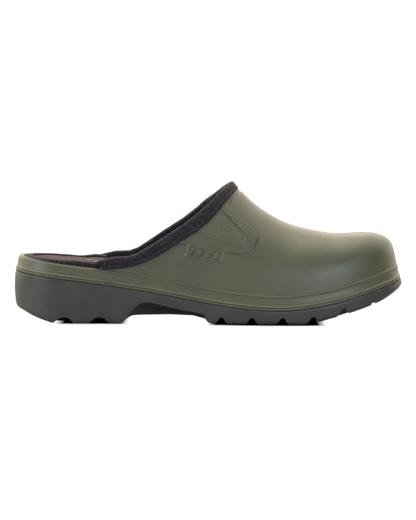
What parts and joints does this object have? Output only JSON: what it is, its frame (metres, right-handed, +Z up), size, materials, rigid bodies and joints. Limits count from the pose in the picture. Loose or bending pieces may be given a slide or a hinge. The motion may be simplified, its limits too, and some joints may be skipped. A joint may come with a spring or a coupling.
{
  "type": "garden clog",
  "caption": "Right-foot rubber garden clog with an open heel, moulded shell, lugged sole, bound collar and loose footbed.",
  "frame": {"origin": "centre of the clog's footprint box, on the ground that its tread stands on", "axes": "+X from the heel to the toe, +Y to the inner side of the right foot, +Z up"},
  "size_m": [0.2912, 0.1058, 0.104],
  "materials": {
    "khaki_pvc": "moulded soft PVC, satin, khaki green, finely grained",
    "black_pvc": "moulded sole compound, matt black",
    "knit_lining": "warp-knit jersey, near black",
    "binding_tape": "woven binding tape, blue-black",
    "seam_thread": "spun polyester thread, near black",
    "fibreboard": "pressed fibre insole board, raw",
    "foam": "cut foam, dark grey",
    "footbed_cloth": "brushed brown lining cloth"
  },
  "bodies": {
    "clog": {"outsole": "black_pvc", "upper_shell": "khaki_pvc", "insole_board": "fibreboard", "vamp_lining": "knit_lining", "collar_binding": "binding_tape", "collar_stitching": "seam_thread"},
    "footbed": {"footbed_foam": "foam", "footbed_cover": "footbed_cloth", "footbed_binding": "binding_tape", "footbed_stitching": "seam_thread"}
  },
  "joints": [
    {"name": "footbed_lift", "type": "hinge", "parent": "clog", "child": "footbed", "pos_m": [0.136, 0, 0.039], "axis": [0, 1, 0], "range_deg": [0, 4]}
  ]
}
